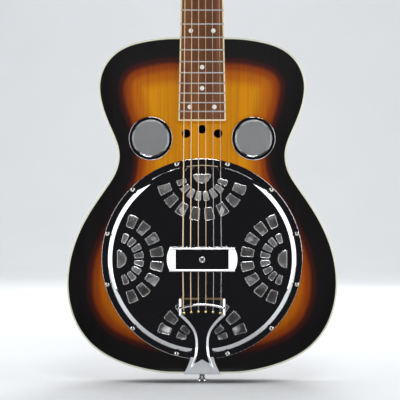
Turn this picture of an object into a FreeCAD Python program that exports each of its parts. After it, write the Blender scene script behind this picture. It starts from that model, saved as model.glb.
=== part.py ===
import FreeCAD, Part
import math
import os

# Resonator guitar, millimetres.
# Design frame: x across towards the treble side, y up the neck from the tail end, z out of the top.
# STAND turns it upright for the parts files: +Z up the neck, the face towards -Y.

V = FreeCAD.Vector
ACROSS = V(1, 0, 0)
ALONG = V(0, 1, 0)
OUT = V(0, 0, 1)

# ---- body ----
BODY_LENGTH = 480.5
BODY_DEPTH = 84.0
PLATE = 3.0
SIDE = 3.5
BINDING_WIDTH = 2.4
BINDING_HEIGHT = 6.0
BINDING_BEVEL = 0.8
LINING_WIDTH = 7.5
LINING_HEIGHT = 14.0
TAIL_FLAT = 40.0
OUTLINE = [
    (TAIL_FLAT, 0.0), (88.0, 6.2), (126.9, 19.5), (151.0, 34.0), (176.2, 62.6), (188.4, 91.0),
    (193.6, 128.0), (187.0, 176.0), (168.7, 220.0), (140.5, 263.6), (124.2, 291.0), (120.3, 314.0),
    (131.8, 349.5), (146.6, 393.0), (147.6, 418.0), (133.2, 450.5), (112.5, 466.6), (81.0, 476.4),
    (TAIL_FLAT, BODY_LENGTH),
]
OFFSET_SAMPLES = 48

# ---- resonator ----
COVER_Y = 163.7
COVER_RADIUS = 143.6
COVER_SHEET = 1.0
SHOULDER_OUTER = 134.5
SHOULDER_INNER = 128.5
SHOULDER_HEIGHT = 5.2
SHOULDER_BULGE = 0.45
DOME_HEIGHT = 7.6
COVER_SCREWS = 12
COVER_SCREW_CIRCLE = 140.4
FAN_CENTRE = 120.8
HALF_MOON_RADIUS = 12.3
SMALL_SLOTS = (24.6, 37.5, 12.8, (10, 30, 50, 70))
LARGE_SLOTS = (48.2, 65.7, 12.0, (10, 30, 50, 69))
SLOT_CORNER = 1.6
SADDLE_OPENING = (76.0, 24.0)
TOP_HOLE = 136.0
WELL_INNER = 135.6
WELL_OUTER = 145.6
WELL_LEDGE = 124.0
LEDGE_DEPTH = 18.0
LEDGE_HEIGHT = 8.0
WELL_PORTS = 8
PORT_RADIUS = 19.0
CONE_RADIUS = 133.3
CONE_SHEET = 0.6
CONE_HOLE = 3.3
SPIDER_LEGS = 8
LEG_WIDTH = 6.5
SADDLE_Y = 162.5
SADDLE_STRING_HEIGHT = 17.0

# ---- palm rest ----
REST_LENGTH = 100.0
REST_WIDTH = 27.4
REST_TOP = 27.0
REST_SHEET = 1.5
REST_SHOULDER = 12.5
REST_FALL = 9.0
REST_ROUND = 2.0
REST_BULGE = 3.0
REST_LIP = 1.9
REST_LIP_DROP = 2.6
REST_LIP_HALF = 46.5
ACCESS_HOLE = 2.75
ACCESS_RIM = 4.2

# ---- top openings ----
SCREEN_X = 73.5
SCREEN_Y = 336.0
SCREEN_RADIUS = 31.15
SCREEN_MESH_RADIUS = 26.4
SCREEN_RIM_HEIGHT = 2.4
SCREEN_BORE = 28.5
SMALL_HOLE_RADIUS = 6.2
SMALL_HOLES = [(0.0, 349.3), (-22.9, 343.0), (22.9, 343.0)]

# ---- tailpiece ----
TAIL_SHEET = 1.2
TAIL_HALF = [(26.0, 0.0), (18.6, 16.0), (14.0, 41.0), (17.6, 61.0), (26.5, 73.0), (33.4, 82.0)]
CROWN_TOP = 110.0
CROWN_HALF = 33.5
CROWN_CORNER = 7.0
TAB_HALF = 15.0
TAB_REACH = 52.0
TAIL_PROFILE = [(2.4, 2.6), (24.0, 7.0), (60.0, 7.4), (CROWN_TOP, 7.4)]
ISLAND_TOP_HALF = [(10.6, 15.0), (6.0, 43.0), (8.8, 60.0), (19.6, 76.5), (29.8, 86.0), (29.8, 106.0)]
ISLAND_FOOT_HALF = [(17.5, 4.0), (13.6, 41.0), (16.0, 55.0), (27.0, 69.0), (37.5, 79.0), (37.5, 113.0)]
ISLAND_NOTCH = (21.0, 13.0)
ISLAND_LEVEL = 11.3
ISLAND_FOOT = 4.3
BAR_RADIUS = 2.0
BAR_SUNK = 0.8
BAR_HALF = 32.0
BAR_CENTRE_Y = 99.4
BAR_END_Y = 93.9
ANCHOR_CENTRE_Y = 89.0
ANCHOR_END_Y = 85.5
ANCHOR_RADIUS = 2.5

# ---- strings ----
STRING_DIAMETERS = [0.41, 0.46, 0.71, 0.91, 1.17, 1.42]
SADDLE_SPACING = 11.0
NUT_SPACING = 8.8
SCALE_LENGTH = 635.0
NUT_Y = SADDLE_Y + SCALE_LENGTH
NUT_THICKNESS = 5.5
NUT_STRING_HEIGHT = 8.6
BALL_RADIUS = 1.9
BALL_LEVEL = 9.1
BAR_TURN = math.radians(13)

# ---- neck ----
BOARD_THICKNESS = 7.0
BOARD_END = 361.0
BOARD_NUT_WIDTH = 50.3
BOARD_END_WIDTH = 67.8
BOARD_BINDING = 2.0
FRETS = 19
FRET_WIDTH = 2.4
FRET_HEIGHT = 1.0
FRET_TANG = 0.6
DOT_RADIUS = 3.25
DOT_THICKNESS = 1.5
SIDE_DOT_RADIUS = 1.0
SINGLE_DOTS = [3, 5, 7, 9, 15, 17]
DOUBLE_DOTS = {12: 16.0, 19: 17.5}
NECK_DEPTH_NUT = 20.5
NECK_DEPTH_HEEL = 23.5
HEEL_DEPTH = 74.0
HEEL_START = 535.0
TENON = (24.0, 30.0, 58.0)
NECK_BLOCK = (70.0, 60.0)
TAIL_BLOCK = (90.0, 13.5)
ROD_RADIUS = 2.5

# ---- headstock ----
HEAD_ANGLE = 14.0
HEAD_LENGTH = 176.0
HEAD_HALF = 38.0
HEAD_THICKNESS = 13.0
OVERLAY = 2.0
POST_X = 25.0
POST_ROWS = [40.0, 76.0, 112.0]

# ---- tuners ----
TUNER_PLATE = 1.0
GEAR_TEETH = 14
GEAR_OUTER = 5.0
GEAR_ROOT = 3.9
GEAR_FACE = 3.0
GEAR_LEVEL = 19.2
WORM_OUTER = 2.7
WORM_ROOT = 1.9
WORM_LEAD = 2.1
WORM_TURNS = 3.0
WORM_DISTANCE = 7.1
POST_RADIUS = 3.0
SHAFT_RADIUS = 1.5
RUNNING_CLEARANCE = 0.05
LUG_GAP = 3.95
LUG_THICKNESS = 2.0

# ---- strap button ----
STRAP_BUTTON_LENGTH = 14.0
STRAP_SCREW_RADIUS = 1.9

STAND = FreeCAD.Placement(V(0, -BODY_DEPTH / 2, TAIL_SHEET), FreeCAD.Rotation(ACROSS, 90))
HEAD = FreeCAD.Placement(V(0, NUT_Y + NUT_THICKNESS, 1.0), FreeCAD.Rotation(ACROSS, -HEAD_ANGLE))


# ---------- helpers ----------

def box(x0, x1, y0, y1, z0, z1):
    return Part.makeBox(x1 - x0, y1 - y0, z1 - z0, V(x0, y0, z0))


def rod(radius, base, direction, length):
    return Part.makeCylinder(radius, length, base, direction)


def fuse(shapes):
    first = shapes[0]
    if len(shapes) == 1:
        return first
    return first.fuse(shapes[1:]).removeSplitter()


def mirrored(shape):
    return shape.mirror(V(0, 0, 0), ACROSS)


def on_head(shape):
    placed = shape.copy()
    placed.Placement = HEAD.multiply(placed.Placement)
    return placed


def polygon(points):
    return Part.makePolygon(list(points) + [points[0]])


def prism(wires, height):
    return Part.Face(wires).extrude(OUT * height)


def write(name, shapes):
    solids = [s for shape in shapes for s in shape.Solids]
    group = Part.makeCompound(solids)
    group.Placement = STAND.multiply(group.Placement)
    group.exportStep("parts/" + name + ".step")


# ---------- body ----------

def outline_curve():
    curve = Part.BSplineCurve()
    points = [V(x, y, 0) for x, y in OUTLINE]
    curve.interpolate(Points=points, InitialTangent=ACROSS, FinalTangent=-ACROSS, Scale=False)
    return curve


def outline_wire(inset):
    """The body outline, moved inwards by inset."""
    source = outline_curve()
    first = source.FirstParameter
    span = source.LastParameter - first
    points = []
    for i in range(OFFSET_SAMPLES + 1):
        u = first + span * i / OFFSET_SAMPLES
        tangent = source.tangent(u)[0]
        points.append(source.value(u) + V(-tangent.y, tangent.x, 0) * inset)
    curve = Part.BSplineCurve()
    curve.interpolate(Points=points, InitialTangent=ACROSS, FinalTangent=-ACROSS, Scale=False)
    right = curve.toShape()
    left = mirrored(right)
    tail = Part.makeLine(V(-TAIL_FLAT, inset, 0), V(TAIL_FLAT, inset, 0))
    shoulder = Part.makeLine(V(TAIL_FLAT, BODY_LENGTH - inset, 0), V(-TAIL_FLAT, BODY_LENGTH - inset, 0))
    return Part.Wire(Part.__sortEdges__([tail, right, shoulder, left]))


def slab(inset, low, high):
    solid = Part.Face(outline_wire(inset)).extrude(OUT * (high - low))
    solid.translate(OUT * low)
    return solid


def band(outer, inner, low, high):
    return slab(outer, low, high).cut(slab(inner, low - 1, high + 1))


def tenon_shape():
    width, length, depth = TENON
    top = -BINDING_HEIGHT
    return box(-width / 2, width / 2, BODY_LENGTH - SIDE - length, BODY_LENGTH, top - depth, top)


def screen_centres():
    return [(-SCREEN_X, SCREEN_Y), (SCREEN_X, SCREEN_Y)]


def cover_screw_centres():
    step = 360.0 / COVER_SCREWS
    for i in range(COVER_SCREWS):
        a = math.radians(step * (i + 0.5))
        yield V(COVER_SCREW_CIRCLE * math.cos(a), COVER_Y + COVER_SCREW_CIRCLE * math.sin(a), 0)


def make_top_plate():
    plate = slab(BINDING_WIDTH, -PLATE, 0)
    cuts = [rod(TOP_HOLE, V(0, COVER_Y, -PLATE - 1), OUT, PLATE + 2)]
    for x, y in screen_centres():
        cuts.append(rod(SCREEN_BORE, V(x, y, -PLATE - 1), OUT, PLATE + 2))
    for x, y in SMALL_HOLES:
        cuts.append(rod(SMALL_HOLE_RADIUS, V(x, y, -PLATE - 1), OUT, PLATE + 2))
    for centre in cover_screw_centres():
        cuts.append(rod(1.4, centre - OUT * 20, OUT, 30))
    return plate.cut(cuts)


def make_binding(top):
    """A strip round the edge of a plate, its outer corner bevelled."""
    low_wire = outline_wire(0)
    low_wire.translate(-OUT * BINDING_BEVEL)
    bevel = Part.makeLoft([low_wire, outline_wire(BINDING_BEVEL)], True, True)
    block = slab(0, -BINDING_HEIGHT, -BINDING_BEVEL).fuse(bevel)
    ring = block.cut(slab(BINDING_WIDTH, -BINDING_HEIGHT - 1, 1))
    if top:
        return ring
    return ring.mirror(V(0, 0, -BODY_DEPTH / 2), OUT)


def make_sides():
    """The bent sides, rebated for the bindings and opened for the neck tenon."""
    shell = band(0, SIDE, -BODY_DEPTH + PLATE, -PLATE)
    rebates = [
        band(-1, BINDING_WIDTH, -BINDING_HEIGHT, 1),
        band(-1, BINDING_WIDTH, -BODY_DEPTH - 1, -BODY_DEPTH + BINDING_HEIGHT),
        tenon_shape(),
        rod(STRAP_SCREW_RADIUS, V(0, -1, -BODY_DEPTH / 2), ALONG, SIDE + 2),
    ]
    shell = shell.cut(rebates)
    right = box(0, 250, -10, 500, -100, 10)
    left = box(-250, 0, -10, 500, -100, 10)
    return shell.common(left), shell.common(right)


def make_neck_block():
    width, length = NECK_BLOCK
    y1 = BODY_LENGTH - SIDE
    block = box(-width / 2, width / 2, y1 - length, y1, -BODY_DEPTH + PLATE, -PLATE)
    return block.cut(tenon_shape())


def make_tail_block():
    width, length = TAIL_BLOCK
    block = box(-width / 2, width / 2, SIDE, SIDE + length, -BODY_DEPTH + PLATE, -PLATE)
    block = block.common(slab(SIDE, -BODY_DEPTH, 0))
    return block.cut(rod(STRAP_SCREW_RADIUS, V(0, 0, -BODY_DEPTH / 2), ALONG, 40))


def make_linings(top):
    """Strips glued round the inside where the sides meet a plate."""
    blocks = [
        box(-NECK_BLOCK[0] / 2, NECK_BLOCK[0] / 2, BODY_LENGTH - 70, BODY_LENGTH, -BODY_DEPTH, 0),
        box(-TAIL_BLOCK[0] / 2, TAIL_BLOCK[0] / 2, 0, 20, -BODY_DEPTH, 0),
    ]
    ring = band(SIDE, SIDE + LINING_WIDTH, -PLATE - LINING_HEIGHT, -PLATE).cut(blocks)
    if top:
        return ring
    return ring.mirror(V(0, 0, -BODY_DEPTH / 2), OUT)


def make_soundwell():
    """The plywood cylinder under the coverplate, with a ledge for the cone and eight side ports."""
    height = BODY_DEPTH - 2 * PLATE
    base = V(0, COVER_Y, -BODY_DEPTH + PLATE)
    wall = rod(WELL_OUTER, base, OUT, height).cut(rod(WELL_INNER, base, OUT, height))
    ledge_low = V(0, COVER_Y, -LEDGE_DEPTH - LEDGE_HEIGHT)
    ledge = rod(WELL_INNER + 1, ledge_low, OUT, LEDGE_HEIGHT)
    ledge = ledge.cut(rod(WELL_LEDGE, ledge_low, OUT, LEDGE_HEIGHT))
    cuts = []
    for i in range(WELL_PORTS):
        a = math.radians(360.0 / WELL_PORTS * (i + 0.5))
        centre = V(0, COVER_Y, -BODY_DEPTH / 2 - 10)
        cuts.append(rod(PORT_RADIUS, centre + V(math.cos(a), math.sin(a), 0) * 120, V(math.cos(a), math.sin(a), 0), 40))
    for centre in cover_screw_centres():
        cuts.append(rod(1.4, centre - OUT * 14, OUT, 30))
    return fuse([wall, ledge]).cut(cuts)


# ---------- resonator ----------

def revolve_profile(wire):
    return Part.Face(wire).revolve(V(0, COVER_Y, 0), OUT, 360)


def plate_point(r, h):
    return V(r, COVER_Y, h)


def cover_surface(drop, rim):
    """Edges of the coverplate's section from the centre to the rim, lowered by drop."""
    a = plate_point(0, DOME_HEIGHT - drop)
    span = SHOULDER_INNER - drop
    b = plate_point(span, SHOULDER_HEIGHT - drop)
    rise = DOME_HEIGHT - SHOULDER_HEIGHT
    sphere = (span ** 2 + rise ** 2) / (2 * rise)
    mid = plate_point(span / 2, DOME_HEIGHT - drop - sphere + math.sqrt(sphere ** 2 - span ** 2 / 4))
    foot = plate_point(SHOULDER_OUTER - drop, COVER_SHEET - drop)
    chord = foot - b
    bulge = V(-chord.z, 0, chord.x).normalize() * SHOULDER_BULGE
    turn = (b + foot) * 0.5 + bulge
    edge = plate_point(rim, COVER_SHEET - drop)
    return [
        Part.Arc(a, mid, b).toShape(),
        Part.Arc(b, turn, foot).toShape(),
        Part.makeLine(foot, edge),
    ]


def cover_solid():
    top = cover_surface(0, COVER_RADIUS - 0.5)
    under = cover_surface(COVER_SHEET, COVER_RADIUS)
    closing = [
        Part.Arc(
            plate_point(COVER_RADIUS - 0.5, COVER_SHEET),
            plate_point(COVER_RADIUS - 0.15, COVER_SHEET - 0.15),
            plate_point(COVER_RADIUS, COVER_SHEET - 0.5),
        ).toShape(),
        Part.makeLine(plate_point(COVER_RADIUS, COVER_SHEET - 0.5), plate_point(COVER_RADIUS, 0)),
        Part.makeLine(plate_point(0, DOME_HEIGHT), plate_point(0, DOME_HEIGHT - COVER_SHEET)),
    ]
    return revolve_profile(Part.Wire(Part.__sortEdges__(top + under + closing)))


def sector_slot(inner, outer, width_deg):
    """One fan slot about the origin, pointing along +x, with rounded corners."""
    half = math.radians(width_deg / 2)
    c = math.cos(half)
    s = math.sin(half)
    edges = [
        Part.makeLine(V(inner * c, -inner * s, 0), V(outer * c, -outer * s, 0)),
        Part.Arc(V(outer * c, -outer * s, 0), V(outer, 0, 0), V(outer * c, outer * s, 0)).toShape(),
        Part.makeLine(V(outer * c, outer * s, 0), V(inner * c, inner * s, 0)),
        Part.Arc(V(inner * c, inner * s, 0), V(inner, 0, 0), V(inner * c, -inner * s, 0)).toShape(),
    ]
    block = Part.Face(Part.Wire(edges)).extrude(OUT * 20)
    corners = [e for e in block.Edges if e.BoundBox.ZLength > 19]
    return block.makeFillet(SLOT_CORNER, corners)


def fan_cutters():
    """The openings of one fan, about a fan centre at the origin that faces +x."""
    moon = rod(HALF_MOON_RADIUS, V(0, 0, 0), OUT, 20).common(box(0, 50, -50, 50, -1, 21))
    cutters = [moon]
    for inner, outer, width, angles in (SMALL_SLOTS, LARGE_SLOTS):
        slot = sector_slot(inner, outer, width)
        for angle in angles:
            for side in (-1, 1):
                turned = slot.copy()
                turned.rotate(V(0, 0, 0), OUT, side * angle)
                cutters.append(turned)
    return cutters


def make_coverplate():
    plate = cover_solid()
    fan = fan_cutters()
    for i in range(4):
        cutters = []
        for cutter in fan:
            placed = cutter.copy()
            placed.translate(V(-FAN_CENTRE, 0, -5))
            placed.rotate(V(0, 0, 0), OUT, 90 * i)
            placed.translate(V(0, COVER_Y, 0))
            cutters.append(placed)
        plate = plate.cut(Part.makeCompound(cutters))
    cutters = [rod(1.7, centre - OUT * 5, OUT, 20) for centre in cover_screw_centres()]
    width, length = SADDLE_OPENING
    cutters.append(box(-width / 2, width / 2, COVER_Y - length / 2, COVER_Y + length / 2, -5, 15))
    return plate.cut(cutters)


def make_cover_screws():
    screws = []
    for centre in cover_screw_centres():
        ball = Part.makeSphere(3.6, centre + OUT * (COVER_SHEET - 1.6))
        head = ball.common(rod(3.2, centre + OUT * COVER_SHEET, OUT, 4))
        cross = [box(-2.0, 2.0, -0.4, 0.4, 2.0, 5), box(-0.4, 0.4, -2.0, 2.0, 2.0, 5)]
        for bar in cross:
            bar.translate(centre)
        shank = rod(1.4, centre - OUT * 11, OUT, 11 + COVER_SHEET)
        screws.append(fuse([head, shank]).cut(cross))
    return screws


def make_cone():
    """The spun aluminium cone: flat rim, straight wall, raised centre."""
    rim = -LEDGE_DEPTH
    wall = WELL_LEDGE - 1.0
    line = [(CONE_RADIUS, rim), (wall, rim), (wall - 4.5, rim - 4.0), (40.0, rim - 27.0)]
    line += [(12.0, rim - 15.0), (CONE_HOLE, rim - 15.0)]
    upper = [plate_point(r, z + CONE_SHEET) for r, z in line]
    lower = [plate_point(r, z) for r, z in reversed(line)]
    return revolve_profile(polygon(upper + lower))


def make_spider():
    """The cast spider: eight arched legs on the cone's rim and a slotted hub for the saddle."""
    foot = -LEDGE_DEPTH + CONE_SHEET
    arch = [
        (6, -6), (30, -4), (70, -6), (104, -9.5), (121, -14), (127.5, foot), (132, foot),
        (129, -12.5), (108, -4.5), (72, -0.5), (30, 2.0), (6, 3.0),
    ]
    legs = []
    for i in range(SPIDER_LEGS):
        face = Part.Face(polygon([V(r, -LEG_WIDTH / 2, z) for r, z in arch]))
        leg = face.extrude(ALONG * LEG_WIDTH)
        leg.rotate(V(0, 0, 0), OUT, 360.0 / SPIDER_LEGS * (i + 0.5))
        leg.translate(V(0, COVER_Y, 0))
        legs.append(leg)
    hub = rod(17, V(0, COVER_Y, -8), OUT, 12)
    bridge = box(-34, 34, SADDLE_Y - 5.5, SADDLE_Y + 5.5, -6, 6)
    slot = box(-31, 31, SADDLE_Y - 1.6, SADDLE_Y + 1.6, 0, 8)
    bore = rod(2.1, V(0, SADDLE_Y, -20), OUT, 40)
    return fuse([hub, bridge] + legs).cut([slot, bore])


def make_tension_screw():
    low = -LEDGE_DEPTH - 19
    shank = rod(1.75, V(0, SADDLE_Y, low), OUT, 6.2 - low)
    head = rod(2.9, V(0, SADDLE_Y, 6.0), OUT, 2.2)
    slot = box(-3, 3, SADDLE_Y - 0.4, SADDLE_Y + 0.4, 7.4, 9)
    nut = rod(4.8, V(0, SADDLE_Y, low + 1.5), OUT, 2.2)
    return fuse([shank, head, nut]).cut(slot)


def string_x(index, spacing):
    return (2.5 - index) * spacing


def make_saddle():
    halves = [box(4, 31, SADDLE_Y - 1.6, SADDLE_Y + 1.6, 0, SADDLE_STRING_HEIGHT + 0.5)]
    halves.append(mirrored(halves[0]))
    slots = []
    for i, diameter in enumerate(STRING_DIAMETERS):
        centre = V(string_x(i, SADDLE_SPACING), SADDLE_Y - 4, SADDLE_STRING_HEIGHT + diameter / 2)
        slots.append(rod(diameter / 2 + 0.06, centre, ALONG, 8))
        slots.append(box(centre.x - diameter / 2, centre.x + diameter / 2, SADDLE_Y - 4, SADDLE_Y + 4, centre.z, 20))
    return [half.cut(slots) for half in halves]


def rest_block(shrink, width):
    """The rest's outer form less shrink all round: sloped shoulders, upright legs, convex ends."""
    half = REST_LENGTH / 2 - shrink
    top = REST_TOP - shrink
    c = COVER_Y
    w = width / 2
    bulge = REST_BULGE
    edges = [
        Part.makeLine(V(-half + bulge, c - w, 0), V(half - bulge, c - w, 0)),
        Part.Arc(V(half - bulge, c - w, 0), V(half, c, 0), V(half - bulge, c + w, 0)).toShape(),
        Part.makeLine(V(half - bulge, c + w, 0), V(-half + bulge, c + w, 0)),
        Part.Arc(V(-half + bulge, c + w, 0), V(-half, c, 0), V(-half + bulge, c - w, 0)).toShape(),
    ]
    plan = Part.Face(Part.Wire(edges)).extrude(OUT * top)
    flat = half - REST_SHOULDER
    fall = top - REST_FALL
    section = [V(-half, c - w - 1, -1), V(half, c - w - 1, -1), V(half, c - w - 1, fall),
               V(flat, c - w - 1, top), V(-flat, c - w - 1, top), V(-half, c - w - 1, fall)]
    form = Part.Face(polygon(section)).extrude(ALONG * (width + 2))
    ridges = [e for e in form.Edges if e.BoundBox.ZMin > top - 0.01 and e.BoundBox.YLength > width]
    return plan.common(form.makeFillet(REST_ROUND, ridges))


def make_palm_rest():
    """A bridge of sheet with a rolled lip below each long edge and a rimmed screwdriver hole."""
    shell = rest_block(0, REST_WIDTH).cut(rest_block(REST_SHEET, REST_WIDTH + 2))
    lips = []
    for side in (-1, 1):
        y = COVER_Y + side * (REST_WIDTH / 2 + REST_LIP - 0.4)
        lips.append(rod(REST_LIP, V(-REST_LIP_HALF, y, REST_TOP - REST_LIP_DROP), ACROSS, 2 * REST_LIP_HALF))
    rim = Part.makeTorus(ACCESS_RIM - 0.75, 0.75)
    rim.translate(V(0, COVER_Y, REST_TOP))
    hole = rod(ACCESS_HOLE, V(0, COVER_Y, 0), OUT, 60)
    dome = fuse([cover_solid(), rod(60, V(0, COVER_Y, -1), OUT, DOME_HEIGHT)])
    return fuse([shell, rim] + lips).cut([hole, dome])


# ---------- top fittings ----------

def make_screen_rings():
    """Flat rings with rounded corners and a short skirt in the top's bores."""
    rings = []
    for x, y in screen_centres():
        outer = SCREEN_RADIUS
        inner = SCREEN_MESH_RADIUS - 0.6
        skirt = SCREEN_BORE - 0.05
        top = SCREEN_RIM_HEIGHT
        corner = 0.7
        swell = corner * (1 - math.sqrt(0.5))
        edges = [
            Part.makeLine(V(outer, 0, 0), V(outer, 0, top - corner)),
            Part.Arc(V(outer, 0, top - corner), V(outer - swell, 0, top - swell), V(outer - corner, 0, top)).toShape(),
            Part.makeLine(V(outer - corner, 0, top), V(inner + corner, 0, top)),
            Part.Arc(V(inner + corner, 0, top), V(inner + swell, 0, top - swell), V(inner, 0, top - corner)).toShape(),
            Part.makeLine(V(inner, 0, top - corner), V(inner, 0, 0.7)),
            Part.makeLine(V(inner, 0, 0.7), V(skirt - 0.8, 0, 0.7)),
            Part.makeLine(V(skirt - 0.8, 0, 0.7), V(skirt - 0.8, 0, -PLATE)),
            Part.makeLine(V(skirt - 0.8, 0, -PLATE), V(skirt, 0, -PLATE)),
            Part.makeLine(V(skirt, 0, -PLATE), V(skirt, 0, 0)),
            Part.makeLine(V(skirt, 0, 0), V(outer, 0, 0)),
        ]
        ring = Part.Face(Part.Wire(edges)).revolve(V(0, 0, 0), OUT, 360)
        ring.translate(V(x, y, 0))
        rings.append(ring)
    return rings


def make_screen_meshes():
    radius = SCREEN_BORE - 0.9
    return [rod(radius, V(x, y, 0.1), OUT, 0.6) for x, y in screen_centres()]


# ---------- tailpiece ----------

def half_to_wire(right_edges):
    left = [mirrored(e) for e in right_edges]
    return Part.Wire(Part.__sortEdges__(right_edges + left))


def spline(points, **tangents):
    curve = Part.BSplineCurve()
    curve.interpolate(Points=points, **tangents)
    return curve.toShape()


def tail_plan():
    side = spline([V(x, y, 0) for x, y in TAIL_HALF])
    low = V(TAIL_HALF[-1][0], TAIL_HALF[-1][1], 0)
    top = V(CROWN_HALF, CROWN_TOP - CROWN_CORNER, 0)
    corner = V(CROWN_HALF - CROWN_CORNER * 0.293, CROWN_TOP - CROWN_CORNER * 0.293, 0)
    start = V(CROWN_HALF - CROWN_CORNER, CROWN_TOP, 0)
    edges = [
        Part.makeLine(V(0, -5, 0), V(26, -5, 0)),
        Part.makeLine(V(26, -5, 0), V(26, 0, 0)),
        side,
        Part.makeLine(low, top),
        Part.Arc(top, corner, start).toShape(),
        Part.makeLine(start, V(0, CROWN_TOP, 0)),
    ]
    return half_to_wire(edges)


def island_wire(half, notch, level):
    points = [V(x, y, level) for x, y in half]
    edges = [
        Part.makeLine(V(0, notch, level), points[0]),
        spline(points[:-1]),
        Part.makeLine(points[-2], points[-1]),
        Part.makeLine(points[-1], V(0, points[-1].y, level)),
    ]
    return half_to_wire(edges)


def island_form():
    """The pressed-up crown and rib, with sloping walls all round."""
    foot = island_wire(ISLAND_FOOT_HALF, ISLAND_NOTCH[1], ISLAND_FOOT)
    top = island_wire(ISLAND_TOP_HALF, ISLAND_NOTCH[0], ISLAND_LEVEL)
    return Part.makeLoft([foot, top], True, True)


def rising_strip(lift, thickness, half):
    """The tailpiece's long section, lift above its underside, as wide as 2 half."""
    low = [V(-half, y, h + lift) for y, h in TAIL_PROFILE]
    high = [p + OUT * thickness for p in reversed(low)]
    return Part.Face(polygon(low + high)).extrude(ACROSS * (2 * half))


def bend_and_tab():
    """The rounded bend over the tail edge and the tab down the tail end."""
    start = V(0, TAIL_PROFILE[0][0], TAIL_PROFILE[0][1])
    lower = V(0, 0, start.z - 3.4)
    mid_in = V(0, 0.75, start.z - 1.0)
    outer_start = start + OUT * TAIL_SHEET
    outer_low = V(0, -TAIL_SHEET, lower.z)
    mid_out = V(0, -0.15, start.z + 0.05)
    end = -TAB_REACH
    edges = [
        Part.Arc(start, mid_in, lower).toShape(),
        Part.makeLine(lower, V(0, 0, end)),
        Part.makeLine(V(0, 0, end), V(0, -TAIL_SHEET, end)),
        Part.makeLine(V(0, -TAIL_SHEET, end), outer_low),
        Part.Arc(outer_low, mid_out, outer_start).toShape(),
        Part.makeLine(outer_start, start),
    ]
    sheet = Part.Face(Part.Wire(edges)).extrude(ACROSS * 60)
    sheet.translate(V(-30, 0, 0))
    outline = [V(-26, 10, 8), V(26, 10, 8), V(26, 10, -1), V(TAB_HALF, 10, -22), V(TAB_HALF, 10, end + 8),
               V(TAB_HALF - 8, 10, end), V(8 - TAB_HALF, 10, end), V(-TAB_HALF, 10, end + 8),
               V(-TAB_HALF, 10, -22), V(-26, 10, -1)]
    plan = Part.Face(polygon(outline)).extrude(ALONG * -20)
    hole = rod(STRAP_SCREW_RADIUS + 0.1, V(0, -5, -BODY_DEPTH / 2), ALONG, 10)
    return sheet.common(plan).cut(hole)


def arc_y(x, centre_y, end_y, half):
    """Height along the neck of a shallow arch through its centre and ends."""
    return centre_y - (centre_y - end_y) * (x / half) ** 2


def anchor_points():
    points = []
    for i in range(6):
        x = string_x(i, SADDLE_SPACING - 0.6)
        points.append(V(x, arc_y(x, ANCHOR_CENTRE_Y, ANCHOR_END_Y, CROWN_HALF), 0))
    return points


def make_tailpiece():
    plan = prism([tail_plan()], 30)
    base = rising_strip(0, TAIL_SHEET, 40).common(plan)
    form = island_form()
    island = form.common(plan).cut(rising_strip(-20, 20.1, 40))
    level = ISLAND_LEVEL - BAR_SUNK
    ends = [V(-BAR_HALF, BAR_END_Y, level), V(0, BAR_CENTRE_Y, level), V(BAR_HALF, BAR_END_Y, level)]
    path = Part.Arc(*ends).toShape()
    section = Part.Circle(ends[0], path.tangentAt(path.FirstParameter), BAR_RADIUS).toShape()
    bar = Part.Wire(path).makePipeShell([Part.Wire(section)], True, True)
    tips = [Part.makeSphere(BAR_RADIUS, p) for p in (ends[0], ends[2])]
    holes = [rod(ANCHOR_RADIUS, p, OUT, 30) for p in anchor_points()]
    slots = [box(p.x - 1.0, p.x + 1.0, p.y, p.y + 9.2, 0, 30) for p in anchor_points()]
    body = fuse([base, island, bend_and_tab()]).cut(holes + slots)
    return fuse([body, bar] + tips)


# ---------- strap button ----------

def make_strap_button():
    profile = [(STRAP_SCREW_RADIUS + 0.1, 0), (7.0, 0), (6.6, 1.6), (4.2, 3.6), (3.6, 6.5), (4.4, 9.6), (6.4, 11.6),
               (6.6, 13.2), (6.0, STRAP_BUTTON_LENGTH), (4.2, STRAP_BUTTON_LENGTH), (STRAP_SCREW_RADIUS + 0.1, 11.6)]
    wire = polygon([V(r, 0, z) for r, z in profile])
    button = Part.Face(wire).revolve(V(0, 0, 0), OUT, 360)
    button.rotate(V(0, 0, 0), ACROSS, 90)
    button.translate(V(0, -TAIL_SHEET, -BODY_DEPTH / 2))
    return button


def make_strap_screw():
    base = V(0, -TAIL_SHEET - STRAP_BUTTON_LENGTH + 0.2, -BODY_DEPTH / 2)
    head = Part.makeCone(3.9, STRAP_SCREW_RADIUS, 2.3, base, ALONG)
    shank = rod(STRAP_SCREW_RADIUS, base, ALONG, STRAP_BUTTON_LENGTH + 17)
    cross = [box(-2.2, 2.2, base.y - 1, base.y + 1.4, base.z - 0.5, base.z + 0.5),
             box(-0.5, 0.5, base.y - 1, base.y + 1.4, base.z - 2.2, base.z + 2.2)]
    return fuse([head, shank]).cut(cross)


# ---------- neck ----------

def board_half_width(y, inset=0.0):
    t = (NUT_Y - y) / (NUT_Y - BOARD_END)
    return (BOARD_NUT_WIDTH + (BOARD_END_WIDTH - BOARD_NUT_WIDTH) * t) / 2 - inset


def tapered(y0, y1, inset, low, high):
    points = [V(-board_half_width(y0, inset), y0, low), V(board_half_width(y0, inset), y0, low),
              V(board_half_width(y1, inset), y1, low), V(-board_half_width(y1, inset), y1, low)]
    return prism([polygon(points)], high - low)


def neck_section(y, half, depth, power):
    """A D-shaped section hanging below the board plane; a lower power is more pointed."""
    points = []
    for i in range(17):
        a = math.pi * i / 16
        c = math.cos(a)
        s = math.sin(a)
        x = math.copysign(abs(c) ** (2.0 / power), c) * half
        points.append(V(x, y, -depth * abs(s) ** (2.0 / power)))
    curve = spline(points)
    return Part.Wire([curve, Part.makeLine(points[-1], points[0])])


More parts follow.
